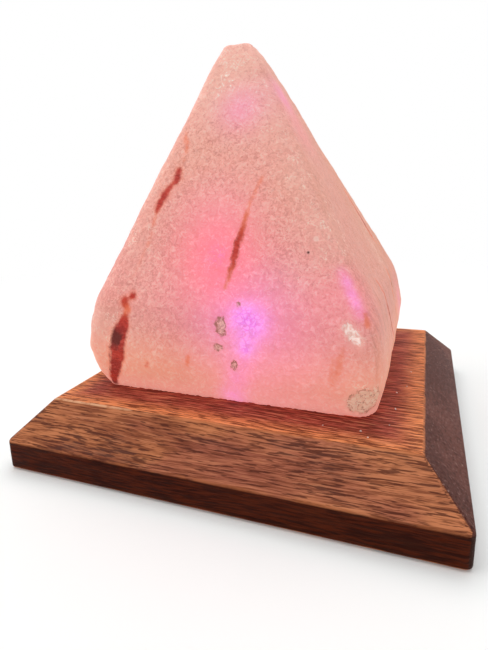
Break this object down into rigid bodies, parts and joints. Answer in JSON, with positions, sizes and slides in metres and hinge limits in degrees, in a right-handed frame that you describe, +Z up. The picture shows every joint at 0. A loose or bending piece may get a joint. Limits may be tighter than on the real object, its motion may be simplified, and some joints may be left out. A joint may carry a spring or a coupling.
{
  "type": "salt crystal lamp",
  "caption": "Small table lamp: a translucent blunt pyramid of rock salt standing on a square bevelled wooden base, lit from inside by colour-changing diodes.",
  "frame": {"origin": "on the table, under the middle of the square base, level with the underside of the felt pads", "axes": "+Z up, -Y towards the front face of the base, +Y towards the rear edge with the inlet, +X to the right seen from the front"},
  "size_m": [0.1, 0.1, 0.0974],
  "materials": {
    "oiled_wood": "open grain, dark oil",
    "rock_salt": "translucent, hand cut, slightly sugary",
    "white_moulding": "fine moulded texture",
    "clear_moulding": "clear, thin",
    "circuit_board": "green solder mask",
    "diode_red": "clear tinted resin",
    "diode_violet": "clear tinted resin",
    "diode_rose": "clear tinted resin",
    "tinned_wire": "tinned",
    "chip_body": "black resin",
    "zinc_steel": "bright zinc",
    "black_moulding": "fine moulded texture",
    "grey_felt": "pressed felt",
    "nickel_steel": "drawn, nickel plated",
    "gilt": "thin gilding",
    "red_sleeve": "soft sleeve",
    "black_sleeve": "soft sleeve"
  },
  "bodies": {
    "base": {"wood_base": "oiled_wood", "lamp_holder": "white_moulding", "lens_dome": "clear_moulding", "led_board": "circuit_board", "led_left": "diode_red", "led_right": "diode_violet", "led_back": "diode_rose", "led_leads": "tinned_wire", "resistors": "chip_body", "led_board_screws": "zinc_steel", "holder_screws": "zinc_steel", "inlet_board_screws": "zinc_steel", "cover_screws": "zinc_steel", "bottom_cover": "black_moulding", "felt_pads": "grey_felt", "inlet_shell": "nickel_steel", "inlet_tongue": "black_moulding", "inlet_contacts": "gilt", "inlet_board": "circuit_board", "inlet_bezel": "black_moulding", "supply_wire_positive": "red_sleeve", "supply_wire_negative": "black_sleeve"},
    "crystal": {"salt_crystal": "rock_salt"}
  },
  "joints": [
    {"name": "crystal_lift", "type": "slide", "parent": "base", "child": "crystal", "axis": [0, 0, 1], "range_m": [0, 0.05]}
  ]
}
